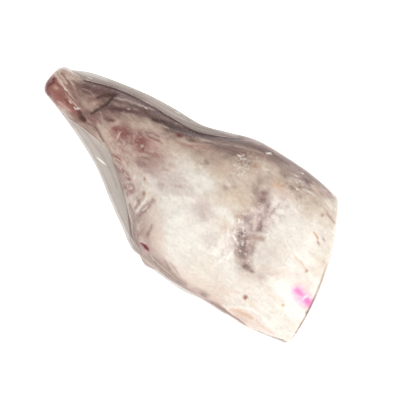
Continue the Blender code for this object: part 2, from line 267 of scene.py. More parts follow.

# Marks on the fat side, laid in this order, among them painted shade in creases and painted highlights. A patch
# has a middle, half sizes and a turn; a line has a half width and its points.
MARKS = [
    ("hock flesh", "brick", 0.9, (-175, 3), (8.5, 12), 36),
    ("hock shade", "lean", 0.5, (-167, 1), (6.5, 6.5), 6),
    ("hock knob", "brick", 0.7, (-178, 1), (4.5, 13), 26),
    ("hock knob dark", "blood", 0.6, (-176, -5), (1.5, 5.5), 36),
    ("hock rim", "blood", 0.75, 1.4, [(-187, 12), (-185, 4), (-181, -2), (-175, -6)]),
    ("hock vessel", "blood", 0.8, 1.1, [(-183, 3), (-182, 6), (-180, 10)]),
    ("hock vessel 2", "blood", 0.7, (-183, 12), (2.5, 1.5), 66),
    ("hock vessel 3", "blood", 0.45, (-165, 1), (3, 1.5), -4),
    ("hock pale", "blush", 0.6, (-175, 6), (3, 2), -4),
    ("hock tendon", "blush", 0.95, 1.9, [
        (-185, 18), (-177, 15), (-169, 12), (-158, 8), (-146, 4), (-139, 3),
    ]),
    ("hock tendon 2", "bone", 0.8, 1.7, [(-184, 22), (-175, 19), (-168, 16)]),
    ("hock tendon 3", "blush", 0.6, 1.3, [(-174, 23), (-164, 20), (-156, 17)]),
    ("hock fat", "blush", 0.6, (-168, 24), (5.5, 2), 11),
    ("hock dark", "hide", 0.6, 1.3, [(-179, 22), (-168, 19), (-159, 15)]),
    ("shin flesh", "brick", 0.95, 3, [(-167, 0), (-158, 0), (-149, -2), (-140, -3), (-131, -5)]),
    ("shin flesh 2", "blood", 0.45, 1.3, [(-159, 2), (-151, 1), (-142, -1)]),
    ("shin flesh 3", "rose", 0.7, 1.1, [(-165, -4), (-157, -5), (-147, -5)]),
    ("shin seam", "blood", 0.55, 0.9, [(-172, 11), (-164, 9), (-156, 7), (-147, 5), (-138, 3)]),
    # Dark pocket in the shin: red-brown meat, with painted shade in the hollow
    ("shin pocket", "umber", 0.9, 2.6, [(-139, 0), (-135, -4), (-129, -4)]),
    ("shin pocket 2", "hide", 0.7, (-138, -8), (5.5, 3), -9),
    ("shin fat", "tan", 0.6, (-141, 11), (7.5, 4), -24),
    ("shin fat 2", "tan", 0.5, (-131, 17), (5.5, 2.5), 56),
    ("shin dark", "dusk", 0.7, (-149, 25), (5.5, 4.5), 6),
    ("shin plum", "plum", 0.6, (-149, 23), (6.5, 5.5), 21),
    ("shin plum 2", "plum", 0.55, (-138, 30), (13, 5.5), 26),
    ("skin fold", "dusk", 0.6, 0.9, [(-156, 24), (-150, 30), (-142, 34), (-133, 36)]),
    ("skin fold 2", "bone", 0.5, 1.0, [(-163, 26), (-154, 33), (-145, 38)]),
    ("skin fold 3", "bone", 0.4, 1.0, [(-152, 22), (-143, 24), (-135, 23)]),
    # Painted shade in the shank's creases
    ("shin hook", "umber", 0.7, 2.4, [(-132, 24), (-129, 29), (-124, 34), (-118, 38)]),
    ("shin crease", "umber", 0.85, 1.4, [(-119, 37), (-120, 30), (-121, 22), (-125, 13), (-128, 6)]),
    # Dark line along the back edge where the web leaves the leg: dark skin, and painted shade under the web
    ("web edge", "umber", 0.95, 1.3, [
        (-155, 30), (-142, 36), (-131, 40), (-115, 44), (-100, 47), (-85, 49), (-72, 50), (-62, 51),
        (-45, 54), (-31, 56),
    ]),
    ("web edge bold", "umber", 0.85, 1.4, [(-121, 43), (-100, 47), (-84, 48), (-69, 51)]),
    ("web edge shade", "plum", 0.7, 2.8, [(-134, 37), (-116, 42), (-101, 45), (-83, 48), (-68, 49)]),
    ("web strip", "ash", 0.5, 2.7, [(-157, 36), (-142, 42), (-125, 46), (-107, 51)]),
    ("web strip 2", "bone", 0.4, 1, [(-167, 32), (-151, 38), (-130, 44)]),
    ("web strip 3", "dusk", 0.4, 1, [(-162, 32), (-146, 39), (-126, 44), (-108, 48)]),
    ("calf sinew", "lilac", 0.5, 1, [(-118, 34), (-106, 40), (-90, 44), (-75, 49)]),
    ("calf sinew 2", "ash", 0.5, 1.1, [(-114, 29), (-107, 33), (-97, 36)]),
    ("calf sinew 3", "dusk", 0.5, 1.3, [(-115, 32), (-106, 36), (-93, 40), (-82, 42)]),
    # Purple line along the calf groove, with painted shade in the groove
    ("calf plum", "plum", 0.75, 2.6, [(-120, 20), (-112, 25), (-101, 30), (-88, 36), (-75, 40)]),
    ("calf plum 2", "umber", 0.4, 1.2, [(-116, 20), (-108, 27), (-94, 33)]),
    ("calf plum 3", "plum", 0.65, (-109, 12), (5.5, 3), 21),
    ("calf plum 4", "dusk", 0.4, (-118, 15), (4.5, 5.5), 36),
    ("calf vessel", "umber", 0.85, (-106, 13), (3, 1.5), 26),
    ("calf fold", "mauve", 0.7, 1.1, [(-122, 13), (-114, 8), (-106, 3)]),
    ("knee fat", "bone", 0.85, (-80, 25), (19, 4.5), 28),
    ("knee fat 2", "blush", 0.6, (-100, 13), (6.5, 2), 66),
    ("knee spot", "ash", 0.9, (-84, 32), (2, 1.5), 36),
    ("knee bruise", "lean", 0.8, (-87, 9), (10.5, 9), 16),
    ("knee bruise 2", "lean", 0.7, (-97, 8), (4.5, 3), 36),
    ("knee bruise 3", "blood", 0.2, (-87, 10), (6.5, 5.5), 16),
    ("knee streak", "blush", 0.8, 1.0, [(-90, 8), (-90, 4), (-90, 0)]),
    ("knee bruise 4", "lean", 0.8, (-66, 13), (10, 7.5), 11),
    ("knee bruise 5", "blood", 0.2, (-63, 11), (6.5, 4.5), 11),
    ("knee squiggle", "lean", 0.7, 0.8, [(-62, 3), (-55, 7), (-48, 8), (-40, 11)]),
    ("knee squiggle 2", "lean", 0.6, 0.8, [(-62, -4), (-54, 0), (-46, 4)]),
    ("knee squiggle 3", "plum", 0.5, 0.8, [(-65, 22), (-55, 24), (-47, 25)]),
    ("knee squiggle 4", "plum", 0.45, 0.8, [(-69, 24), (-61, 28), (-53, 28)]),
    ("knee squiggle 5", "blush", 0.6, 0.8, [(-58, 2), (-49, 4), (-40, 7)]),
    ("knee blush 2", "rose", 0.6, (-52, 17), (8.5, 5.5), 16),
    ("knee pale dot", "bone", 0.95, (-63, 10), (2, 1.5), 36),
    ("knee dark dot", "blood", 0.85, (-60, 7), (1.5, 1.5), 36),
    ("knee wrinkle", "lean", 0.55, 0.8, [(-70, 24), (-63, 22), (-57, 23), (-51, 26)]),
    ("knee wrinkle 2", "lean", 0.6, 0.8, [(-67, 2), (-57, 6), (-47, 11), (-42, 12)]),
    ("knee wrinkle 3", "plum", 0.7, 0.8, [(-57, 0), (-51, 2), (-46, 6)]),
    ("knee wrinkle 5", "ash", 0.6, 0.8, [(-55, 33), (-50, 35), (-45, 39)]),
    ("knee wrinkle 6", "bone", 0.5, 0.8, [(-54, 29), (-47, 35), (-43, 42)]),
    ("knee mauve", "mauve", 0.6, (-46, 4), (19.5, 8.5), 21),
    ("knee plum", "plum", 0.3, (-53, -6), (7.5, 3), 16),
    ("shin line", "plum", 0.3, 0.9, [(-117, -2), (-106, -7), (-94, -12), (-82, -18)]),
    ("shin streak", "plum", 0.55, 1, [(-116, -3), (-108, -7), (-99, -11)]),
    ("shin line 2", "bone", 0.5, 1.1, [(-116, 1), (-101, -5), (-89, -10)]),
    ("shin line 3", "mauve", 0.4, 0.9, [(-110, -4), (-100, -8), (-85, -15)]),
    ("shin cut", "brick", 0.9, 1, [(-83, -16), (-78, -16), (-72, -16)]),
    ("shin cut 2", "brick", 0.6, 0.9, [(-78, -19), (-73, -19), (-69, -19)]),
    ("shin cut 3", "blood", 0.75, (-74, -25), (3, 1.5), -14),
    ("shin cut 4", "lean", 0.6, (-65, -24), (5.5, 2), 16),
    ("shin cut 5", "brick", 0.9, (-54, -27), (3, 2), 26),
    ("shin cut 6", "lean", 0.6, (-52, -36), (4.5, 2), -4),
    ("shin cut 7", "lean", 0.65, (-44, -36), (5.5, 2.5), 66),
    ("shin node", "blush", 0.8, (-55, -18), (6.5, 4.5), -14),
    ("shin node 2", "ivory", 0.7, (-50, -22), (2.5, 1.5), -74),
    ("shin node 3", "ivory", 0.5, (-58, -20), (2, 1), -24),
    ("shin node 4", "blush", 0.7, (-66, -17), (4.5, 2), -24),
    ("shin dot", "rust", 0.75, (-32, -30), (2, 2.5), 36),
    ("shin dot 2", "rust", 0.6, (-40, -17), (1.5, 1.5), 36),
    ("shin mottle", "mauve", 0.7, (-62, -31), (9.5, 4.5), -29),
    # The dark lines in the folds are painted shade in them, and the pale lines along their lips are painted
    # highlights
    ("fold brown", "mauve", 0.75, 3.4, [(-22, -50), (-21, -40), (-19, -30)]),
    ("fold brown edge", "hide", 0.4, 1, [(-22, -53), (-20, -45), (-18, -36)]),
    ("fold light", "ivory", 0.75, 1.2, [(-26, -52), (-26, -41), (-26, -33)]),
    ("fold brown 2", "mauve", 0.8, 1.3, [(-30, -49), (-30, -43), (-30, -36)]),
    ("fold light 2", "ivory", 0.5, 1.1, [(-33, -46), (-34, -39)]),
    ("fold brown 3", "mauve", 0.8, 1.9, [(-10, -73), (-10, -66), (-10, -60)]),
    ("fold brown 4", "mauve", 0.85, 1.6, [(-2, -65), (-3, -59), (-5, -52)]),
    ("fold brown 5", "lean", 0.4, (-3, -63), (1.5, 2.5), 6),
    ("fold light 3", "blush", 0.7, 1.1, [(-15, -65), (-16, -56)]),
    ("fold shade", "hide", 0.6, 2.6, [(-37, -49), (-28, -55), (-21, -63), (-15, -72)]),
    ("fold shade 2", "ash", 0.6, (-22, -56), (2.5, 5.5), 26),
    ("slit", "wine", 0.95, 1.8, [(-2, -75), (4, -75), (8, -76)]),
    ("slit core", "wine", 0.95, 1.2, [(0, -75), (7, -76)]),
    ("slit grey", "ash", 0.9, 2.4, [(12, -79), (18, -81), (25, -84)]),
    ("slit grey 2", "ash", 0.5, 1.3, [(26, -84), (36, -85), (48, -87)]),
    ("fold web", "hide", 0.4, (-14, -68), (8.5, 2.5), -39),
    ("belly fan", "mauve", 0.7, (36, -80), (9.5, 3), -19),
    ("belly ray", "ash", 0.6, 1.0, [(28, -74), (35, -78), (40, -81)]),
    ("belly ray 2", "mauve", 0.6, 1.0, [(34, -73), (42, -75), (49, -78)]),
    ("belly band", "ash", 0.7, 2.4, [(38, -84), (48, -85), (58, -85)]),
    # Painted shade along the belly edge, in streaks
    ("belly ash", "ash", 0.75, 2.8, [(13, -81), (27, -82), (44, -83), (62, -83)]),
    ("belly ash 2", "hide", 0.5, 1.3, [(20, -83), (37, -85), (57, -86), (76, -84)]),
    ("belly ash 3", "bone", 0.6, 0.9, [(16, -81), (33, -83), (50, -84)]),
    ("belly ash 4", "mauve", 0.5, (74, -81), (6.5, 3), 6),
    ("belly ash 5", "plum", 0.5, (83, -80), (3, 2.5), 6),
    ("belly plum", "ash", 0.7, (84, -80), (5.5, 3), 16),
    ("belly line", "hide", 0.95, 1.1, [
        (30, -86), (42, -88), (53, -89), (71, -88), (86, -85), (96, -82), (113, -81), (129, -80),
        (144, -81), (164, -76), (185, -69),
    ]),
    ("back ridge", "bone", 0.7, 1.3, [(-25, 48), (-17, 52), (-7, 56)]),
    ("back ridge 2", "rust", 0.35, 1.7, [(-22, 40), (-13, 46), (-3, 50)]),
    ("back vessel", "blood", 0.95, (-38, 43), (2.5, 2.5), 36),
    ("back vessel 2", "blood", 0.35, (-34, 46), (4.5, 1.5), 36),
    ("back streak", "hide", 0.5, 1.1, [(1, 56), (14, 61), (25, 66)]),
    ("back streak 2", "hide", 0.45, 1.1, [(30, 73), (47, 77), (64, 80)]),
    ("back streak 3", "bone", 0.45, 1.1, [(18, 69), (33, 75), (46, 79)]),
    ("back streak 4", "bone", 0.4, 1.1, [(50, 73), (67, 75), (82, 76)]),
    ("back grey", "ash", 0.7, (3, 36), (3, 3), 36),
    ("back grey 2", "ash", 0.5, (35, 26), (4.5, 3), 6),
    ("back grey 3", "ash", 0.5, (16, 52), (6.5, 3), 26),
    # Dark back band: dusky meat under the membrane, with painted shade in the back groove
    ("back umber", "umber", 0.95, 3.4, [(-71, 40), (-59, 44), (-47, 47), (-34, 51), (-22, 56), (-8, 62)]),
    ("back umber core", "umber", 0.9, 1.7, [(-66, 42), (-50, 46), (-33, 52), (-16, 58)]),
    ("back umber 2", "umber", 0.7, 2.8, [(-16, 58), (-1, 66), (17, 75)]),
    ("back umber 3", "dusk", 0.7, 2.4, [(12, 71), (32, 79), (54, 85), (75, 86)]),
    ("back fibre", "tan", 0.5, 0.9, [(-49, 51), (-36, 55), (-23, 60)]),
    ("back fibre 2", "hide", 0.7, 1, [(-49, 41), (-33, 45), (-17, 52)]),
    ("back fibre 3", "dusk", 0.5, 1.1, [(-10, 53), (6, 60), (24, 69)]),
    ("back fibre 4", "tan", 0.45, 1, [(-13, 46), (3, 54), (19, 61)]),
    ("back fibre 5", "dusk", 0.45, (2, 55), (8.5, 3), 24),
    ("back dark", "dusk", 0.5, (17, 60), (9.5, 4), 21),
    ("back vessel 3", "lean", 0.35, (-25, 38), (10.5, 2), 16),
    ("back lobe", "blush", 0.6, (24, 43), (6.5, 5.5), 36),
    ("hip shade spot", "ash", 0.6, (75, 76), (5.5, 4), 6),
    ("hip blotch", "ash", 0.6, (81, 76), (6, 4.5), 16),
    ("hip blotch 2", "plum", 0.6, (102, 83), (5.5, 3), 1),
    ("hip blotch 3", "dusk", 0.55, (99, 73), (5, 2), 6),
    ("hip blotch 4", "plum", 0.25, (102, 64), (5, 2.5), 16),
    ("hip blotch 5", "dusk", 0.3, (93, 68), (4.5, 2), 6),
    ("hip blotch 6", "ash", 0.25, (106, 71), (4.5, 3), 6),
    ("hip blotch 7", "mauve", 0.6, (119, 82), (7.5, 4.5), -2),
    ("hip blotch 8", "hide", 0.5, (130, 85), (6.5, 4), -14),
    ("hip blotch 9", "mauve", 0.4, (117, 70), (5.5, 2), 1),
    ("hip pale", "blush", 0.6, 1, [(99, 70), (108, 70), (116, 68)]),
    ("hip pale 2", "bone", 0.5, 1, [(105, 82), (114, 81), (124, 78)]),
    ("hollow plum", "plum", 0.5, (72, 46), (4, 3), 36),
    ("hollow plum 2", "plum", 0.55, (75, 38), (5, 4), 66),
    ("hollow plum 3", "plum", 0.35, (84, 36), (2.5, 5.5), 28),
    ("hollow plum 4", "plum", 0.6, (74, 13), (5.5, 4), 71),
    ("hollow plum 5", "plum", 0.65, (90, 12), (5, 3), 76),
    ("hollow knot", "umber", 0.65, (79, -5), (5, 5), 36),
    ("hollow bar", "mauve", 0.75, 3.2, [(81, -5), (89, 0), (99, 6)]),
    ("hollow knot 2", "dusk", 0.45, (84, -16), (4.5, 5.5), 36),
    ("hollow knot 3", "dusk", 0.4, (93, -21), (4.5, 4.5), 36),
    ("hollow knot 4", "plum", 0.35, (98, -11), (2.5, 5.5), 26),
    ("hollow tail", "plum", 0.65, (102, -29), (4.5, 3), 6),
    ("hollow tail 2", "plum", 0.5, (110, -29), (3, 2), 6),
    ("hollow rust", "rust", 0.9, (63, 9), (2, 1), 26),
    ("hollow rust 2", "tan", 0.8, (66, 6), (4, 4.5), 36),
    ("back brown", "rust", 0.45, (46, 63), (5.5, 2), 21),
    ("back brown 2", "ash", 0.6, (38, 61), (6.5, 3), 26),
    ("back brown 3", "ash", 0.5, (60, 53), (4.5, 5.5), 36),
    ("back cream", "blush", 0.8, (47, 50), (9.5, 4.5), 21),
    ("back cream 2", "bone", 0.7, (36, 53), (7.5, 3), 6),
    ("back cream 3", "gold", 0.6, (22, 36), (9.5, 5.5), 21),
    ("back cream 4", "blush", 0.7, (86, 58), (12, 6.5), 16),
    ("back amber", "amber", 0.45, (78, 61), (5.5, 2.5), 26),
    # Painted shade along the hip's back edge, where the surface curves away from the light
    ("hip edge", "dusk", 0.5, 1.7, [(66, 88), (88, 90), (110, 89), (130, 88)]),
    ("hip streak", "ash", 0.2, 1.1, [(118, 71), (131, 70), (145, 68)]),
    ("hip streak 2", "bone", 0.5, 1.1, [(120, 74), (134, 74), (145, 71)]),
    ("rump rose", "rose", 0.25, (120, 52), (9.5, 3), 16),
    ("hollow dot", "tan", 0.5, (109, -36), (1.5, 1.5), 36),
    ("hollow streak", "mauve", 0.35, (120, -29), (6.5, 4), 16),
    ("thigh rose", "rose", 0.35, (59, -9), (4.5, 3), 36),
    ("thigh spot", "mauve", 0.5, (-6, -2), (5.5, 2), 26),
    ("thigh spot 2", "mauve", 0.4, (-22, -12), (4.5, 4.5), 36),
    ("thigh spot 3", "mauve", 0.45, (-40, -8), (5.5, 2.5), 16),
    ("thigh spot 4", "mauve", 0.3, (34, -12), (6.5, 3), -24),
    ("thigh spot 5", "rose", 0.4, (-22, 12), (2, 1.5), 36),
    ("thigh pale", "ivory", 0.8, (16, 17), (9.5, 5.5), 1),
    ("thigh pale 2", "ivory", 0.7, (60, 2), (8.5, 4.5), -24),
    ("thigh pale 3", "ivory", 0.7, (47, 4), (7.5, 5.5), 16),
    ("chump crease", "amber", 0.45, 1.2, [(122, 19), (131, 13), (138, 10), (147, 9), (158, 5)]),
    # Painted highlight along the chump's ridge
    ("chump ridge", "ivory", 0.95, 1.7, [(119, 18), (127, 14), (138, 13), (149, 12)]),
    ("chump vein", "amber", 0.9, 1.0, [(139, 43), (143, 42), (147, 40)]),
    ("chump vein 2", "brick", 0.7, (150, 37), (2.5, 1), -34),
    ("chump vein 3", "brick", 0.55, (152, 43), (2.5, 1), -24),
    ("chump vein 4", "brick", 0.5, (136, 63), (2, 1.5), 36),
    ("chump vein 5", "brick", 0.45, 1.0, [(138, 67), (145, 66), (152, 64)]),
    ("chump spot", "brick", 0.6, (157, 5), (1.5, 1.5), 36),
    ("chump gold", "gold", 0.6, (167, 23), (3, 3), 36),
    ("chump gold 2", "gold", 0.35, (155, 23), (6.5, 2), -4),
    ("chump blush", "blush", 0.4, (143, -8), (13, 4.5), 26),
    ("belly dot", "brick", 0.95, (121, -56), (2, 2.5), 36),
    ("belly dot 2", "amber", 0.9, (158, -39), (1.5, 1.5), 36),
    ("dye", "dye", 0.55, (165, -18), (7, 5), -4),
    ("dye 2", "dye", 0.8, (163, -18), (4, 2.5), 1),
    ("dye 3", "dye", 0.65, (177, -21), (6, 5), 6),
    ("dye 4", "dye", 0.9, (177, -20), (3, 2.5), 6),
    ("dye 5", "dye", 0.3, (170, -20), (9.5, 7), -6),
    ("dye gap", "ivory", 0.85, 1, [(171, -23), (172, -19), (174, -14)]),
    ("dye gap 2", "ivory", 0.7, (168, -21), (1.5, 1), 36),
    ("dye gap 3", "ivory", 0.6, (175, -25), (1.5, 1.5), 36),
    ("dye gap 4", "ivory", 0.6, (167, -15), (1.5, 1), -4),
    ("dye gap 5", "ivory", 0.6, (177, -16), (1.5, 1), 66),
    ("dye gap 6", "ivory", 0.5, (164, -22), (1.5, 1), 16),
    ("knee crumb 3", "bone", 0.5, (-75, 2), (3, 1.5), 6),
    ("flap shade", "blush", 0.95, 2.8, [(117, -76), (126, -72), (138, -70)]),
    ("flap shade 2", "amber", 0.35, 1.7, [(118, -74), (129, -71), (141, -70)]),
    ("flap shade 3", "blush", 0.7, 1.3, [(145, -69), (157, -71), (170, -70)]),
    ("flap ridge", "ivory", 0.9, 1.3, [(112, -75), (123, -67), (135, -62), (148, -62), (161, -65)]),
    ("flap ridge 2", "ivory", 0.7, 1.1, [(135, -56), (151, -55), (166, -57)]),
    ("flap rose", "rose", 0.4, (133, -77), (8.5, 3), 6),
    ("cut line", "hide", 0.9, 1.0, [
        (169, 34), (174, 19), (179, 1), (182, -12), (184, -26), (186, -39), (188, -55),
    ]),
    ("cut line 2", "umber", 0.6, 1.0, [(172, 24), (178, 5), (182, -14), (184, -32)]),
    ("hollow crumb", "ivory", 0.85, 1, [(66, 7), (70, 5), (71, 8)]),
    ("hollow crumb 2", "ivory", 0.75, 0.9, [(73, 3), (77, 2)]),
    # Painted highlights: pale streaks where the film over the hollow's arc would catch the light
    ("hollow crumb 3", "frost", 0.85, 1.1, [(70, -6), (72, -11), (78, -13)]),
    ("hollow crumb 4", "frost", 0.6, 0.8, [(62, -5), (64, -10), (68, -13)]),
    ("hollow crumb 5", "ivory", 0.8, (87, -19), (1.5, 1), 6),
    ("hollow crumb 6", "ivory", 0.8, (94, -19), (1.5, 1), 56),
    ("hollow crumb 7", "ivory", 0.8, 0.9, [(93, -25), (96, -25)]),
    ("hollow crumb 8", "ivory", 0.7, (101, -22), (1.5, 1), 36),
    ("hollow crumb 9", "ivory", 0.7, (81, -14), (1.5, 1.5), 36),
    # Painted highlights where the film over the hollow and the back would catch the light
    ("hollow hook", "frost", 0.95, 0.9, [(100, 16), (100, 12), (102, 9), (104, 12)]),
    ("back crumb", "frost", 0.75, 0.9, [(25, 62), (28, 62), (30, 65)]),
    ("back crumb 2", "frost", 0.6, 0.9, [(30, 60), (34, 62)]),
    ("back crumb 3", "ivory", 0.5, (34, 50), (3, 1), 26),
    ("back crumb 4", "ivory", 0.55, (41, 51), (2.5, 1), 46),
    ("back crumb 5", "ivory", 0.5, (39, 46), (3, 1.5), 31),
    ("back crumb 6", "ivory", 0.5, (42, 56), (2, 1), 6),
    ("back crumb 7", "ivory", 0.45, (32, 43), (2.5, 1), 36),
    ("back crumb 8", "ivory", 0.45, (29, 51), (2, 1), 16),
    # Painted highlight where the film over the back edge would catch the light
    ("back crumb 9", "frost", 0.8, 0.8, [(49, 82), (54, 84)]),
    ("hip crumb", "ivory", 0.5, (103, 73), (3, 1), 6),
    ("hip crumb 2", "ivory", 0.5, (110, 75), (4, 1), 6),
    ("hip crumb 3", "ivory", 0.6, (96, 79), (3, 1), 16),
    ("hip crumb 4", "ivory", 0.6, (89, 81), (2.5, 1), 16),
    ("hip crumb 5", "bone", 0.7, (110, 82), (4.5, 1), 1),
    ("knee crumb", "blush", 0.55, 0.9, [(-92, 8), (-90, 4), (-90, 1)]),
    ("knee crumb 2", "blush", 0.4, 0.9, [(-77, 14), (-74, 10), (-73, 7)]),
    ("rump crumb", "ivory", 0.7, 0.8, [(104, 49), (111, 51)]),
    # Painted highlights where the film would catch the light
    ("chump glint", "frost", 0.7, 0.9, [(120, 18), (127, 17)]),
    ("gristle glint", "frost", 0.9, 0.6, [(-168, 11), (-164, 10)]),
    ("gristle glint 2", "frost", 0.8, 0.6, [(-155, 4), (-151, 2)]),
    ("gristle glint 3", "frost", 0.9, 0.6, [(-147, 1), (-144, 0), (-142, 3)]),
    ("calf glint", "frost", 0.7, 0.6, [(-100, 32), (-97, 34)]),
    ("calf glint 2", "frost", 0.6, 0.6, [(-85, 45), (-82, 46)]),
    ("fold glint", "ivory", 0.7, 0.9, [(-22, -46), (-20, -38)]),
    # Bend of the dark back band, with painted shade in the back groove
    ("back umber bend", "umber", 0.5, 3.4, [(-39, 54), (-24, 57), (-8, 61)]),
]

# Uneven blotches over a region: name, colour, strength, size of the blotches, how far they are drawn out along X,
# how much they cover from -1 to 1, middle, half sizes, turn
MOTTLES = [
    ("shank light", "bone", 0.35, 9, 2.6, -0.1, (-125, 20), (56, 26), 8),
    ("shank dark", "dusk", 0.45, 7, 3.0, 0.0, (-120, 26), (60, 20), 8),
    ("shank rose", "lean", 0.35, 6, 2.0, -0.1, (-140, 8), (44, 16), 0),
    ("shank fine", "plum", 0.3, 3.5, 3.0, -0.1, (-116, 24), (64, 20), 8),
    ("knee rose", "rose", 0.7, 7, 1.6, 0.1, (-66, 6), (34, 20), 8),
    ("knee plum", "lean", 0.4, 4.5, 2.0, -0.15, (-62, 8), (34, 20), 8),
    ("knee light", "blush", 0.6, 4, 1.6, -0.1, (-60, -2), (40, 22), 0),
    ("front rose", "lean", 0.45, 5, 1.6, -0.1, (-62, -24), (36, 11), -32),
    ("front light", "blush", 0.75, 4, 1.4, -0.05, (-54, -28), (40, 12), -32),
    ("fold light", "blush", 0.5, 6, 1.6, 0.0, (-18, -52), (28, 12), -40),
    ("back streak", "hide", 0.3, 6, 4.0, 0.0, (30, 66), (80, 18), 14),
    ("back light", "bone", 0.4, 7, 2.5, -0.05, (36, 58), (70, 20), 14),
    # Pale flecks of fat, partly painted sparkle
    ("back fleck", "ivory", 0.6, 3, 1.2, -0.25, (44, 58), (24, 16), 20),
    ("back blotch", "ash", 0.5, 8, 1.3, -0.15, (40, 50), (50, 24), 14),
    ("hip dark", "plum", 0.35, 6, 1.6, -0.1, (97, 77), (24, 11), -4),
    ("hip light", "bone", 0.5, 5, 1.4, 0.0, (108, 72), (36, 14), -4),
    ("hip fine", "dusk", 0.35, 3, 1.4, -0.2, (97, 74), (24, 12), -4),
    ("hollow dark", "plum", 0.35, 6, 0.8, -0.1, (82, 6), (13, 44), -16),
    ("hollow light", "lilac", 0.3, 4.5, 0.9, 0.0, (84, 8), (14, 42), -16),
    ("hollow fine", "dusk", 0.4, 2.6, 1.0, -0.2, (82, -6), (12, 32), -10),
    # Pale flecks of fat, partly painted sparkle
    ("hollow fleck", "ivory", 0.35, 2.4, 1.0, -0.25, (78, -6), (12, 30), -10),
    ("chump cream", "gold", 0.25, 12, 2.5, -0.1, (140, 10), (50, 60), -10),
    ("flap blush", "blush", 0.5, 8, 3.0, -0.05, (130, -62), (50, 24), 0),
]

# Creases and ridges of the fat side: name, height in millimetres, half width, points
RELIEF = [
    ("shin crease", -1.6, 1.7, [(-119, 37), (-120, 30), (-121, 22), (-125, 13), (-128, 6)]),
    ("shin hook", -1.2, 1.9, [(-132, 24), (-129, 29), (-124, 34), (-118, 38)]),
    ("crease lip", 0.7, 2.1, [(-114, 37), (-115, 30), (-117, 21), (-120, 13)]),
    ("web edge", -1.0, 1.6, [(-156, 31), (-137, 39), (-118, 46), (-98, 50), (-81, 52), (-54, 53)]),
    ("calf sinew", 0.8, 1.3, [(-117, 36), (-110, 40), (-101, 43), (-90, 44), (-80, 45)]),
    ("calf groove", -0.7, 3.0, [(-117, 18), (-109, 25), (-99, 31), (-86, 38), (-73, 43)]),
    ("shin seam", -0.9, 1.3, [(-174, 17), (-168, 12), (-161, 11), (-151, 8), (-140, 5)]),
    ("gristle", 1.2, 2.6, [(-178, 14), (-170, 10), (-160, 6), (-150, 3), (-141, 1)]),
    ("shin pocket", -2.0, 3.2, [(-139, 0), (-132, -3)]),
    ("knee wrinkle", -0.7, 1.1, [(-68, 24), (-62, 22), (-56, 23), (-51, 25)]),
    ("knee wrinkle 2", -0.7, 1.1, [(-68, 1), (-60, 5), (-53, 8), (-46, 12)]),
    ("knee wrinkle 3", -0.6, 1.1, [(-57, 0), (-51, 2), (-46, 6)]),
    ("shin line", -0.7, 1.3, [(-117, -2), (-106, -7), (-94, -12), (-82, -18)]),
    ("fold", -1.3, 1.9, [(-21, -54), (-22, -42), (-22, -29)]),
    ("fold lip", 1.0, 1.7, [(-26, -53), (-27, -44), (-28, -36)]),
    ("fold 2", -1.0, 1.5, [(-32, -51), (-31, -44), (-31, -35)]),
    ("fold 3", -0.9, 1.5, [(-9, -73), (-10, -66), (-10, -59)]),
    ("fold 4", -0.9, 1.5, [(-2, -65), (-4, -58), (-6, -52)]),
    ("slit", -1.5, 1.9, [(-2, -74), (9, -77)]),
    ("slit tail", -0.8, 2.1, [(12, -79), (25, -84)]),
    ("back groove", -1.0, 3.8, [(-64, 44), (-48, 47), (-31, 53), (-14, 59), (2, 66)]),
    ("back ridge", 0.8, 2.1, [(-44, 44), (-25, 48), (-7, 56)]),
    ("hollow wall", -0.6, 3.2, [(74, 43), (82, 28), (87, 11), (82, -6)]),
    ("hollow pit", -0.8, 3.2, [(77, -5), (89, -15), (102, -24)]),
    ("hollow arc", 0.5, 1.5, [(69, 0), (71, -7), (77, -12), (85, -15)]),
    ("chump crease", -0.9, 1.5, [(124, 19), (132, 14), (138, 10), (147, 9), (158, 5)]),
    ("chump ridge", 0.8, 1.7, [(119, 18), (127, 14), (138, 13), (149, 12)]),
    ("flap crease", -1.0, 2.1, [(118, -77), (134, -70), (146, -69), (163, -71)]),
    ("flap ridge", 0.9, 1.7, [(112, -75), (123, -67), (135, -62), (148, -62), (161, -65)]),
    ("flap crease 2", -0.6, 1.7, [(139, -62), (153, -61), (169, -65)]),
]

# White creases in the film and painted highlights on it, laid as pale colour: name, strength, half width, points
FILM_CREASES_AND_GLINTS = [
    ("shank glint", 0.8, 0.5, [(-170, 24), (-166, 25)]),
    ("shank glint 2", 0.8, 0.5, [(-155, 35), (-150, 37)]),
    ("bunch glint", 0.5, 0.6, [(-15, -77), (-9, -80)]),
    ("bunch line", 0.6, 0.9, [(11, -78), (20, -82)]),
    ("belly film", 0.5, 0.9, [(45, -89), (58, -88), (70, -86)]),
    ("web top glint", 0.6, 0.8, [(-56, 61), (-51, 62)]),
]

# Painted highlights on the film, laid as pale colour where it would catch the light: middle, half sizes and turn
GLINT_DEPTH = 40.0
PAINTED_GLINTS = {
    "web":         ((-90, -29, 36), (9.4, 1.5), -3),
    "hollow":      ((100, 11, 80), (4.3, 1.0), -72),
    "hollow tail": ((105, 11, 80), (2.0, 0.8), 1),
    "back":        ((27, 62, 72), (3.9, 0.8), 8),
    "back edge":   ((51, 83, 56), (4.3, 0.9), 54),
    "hip edge":    ((93, 87, 52), (2.3, 0.8), -9),
    "thigh":       ((68, 4, 84), (2.6, 0.8), -29),
}

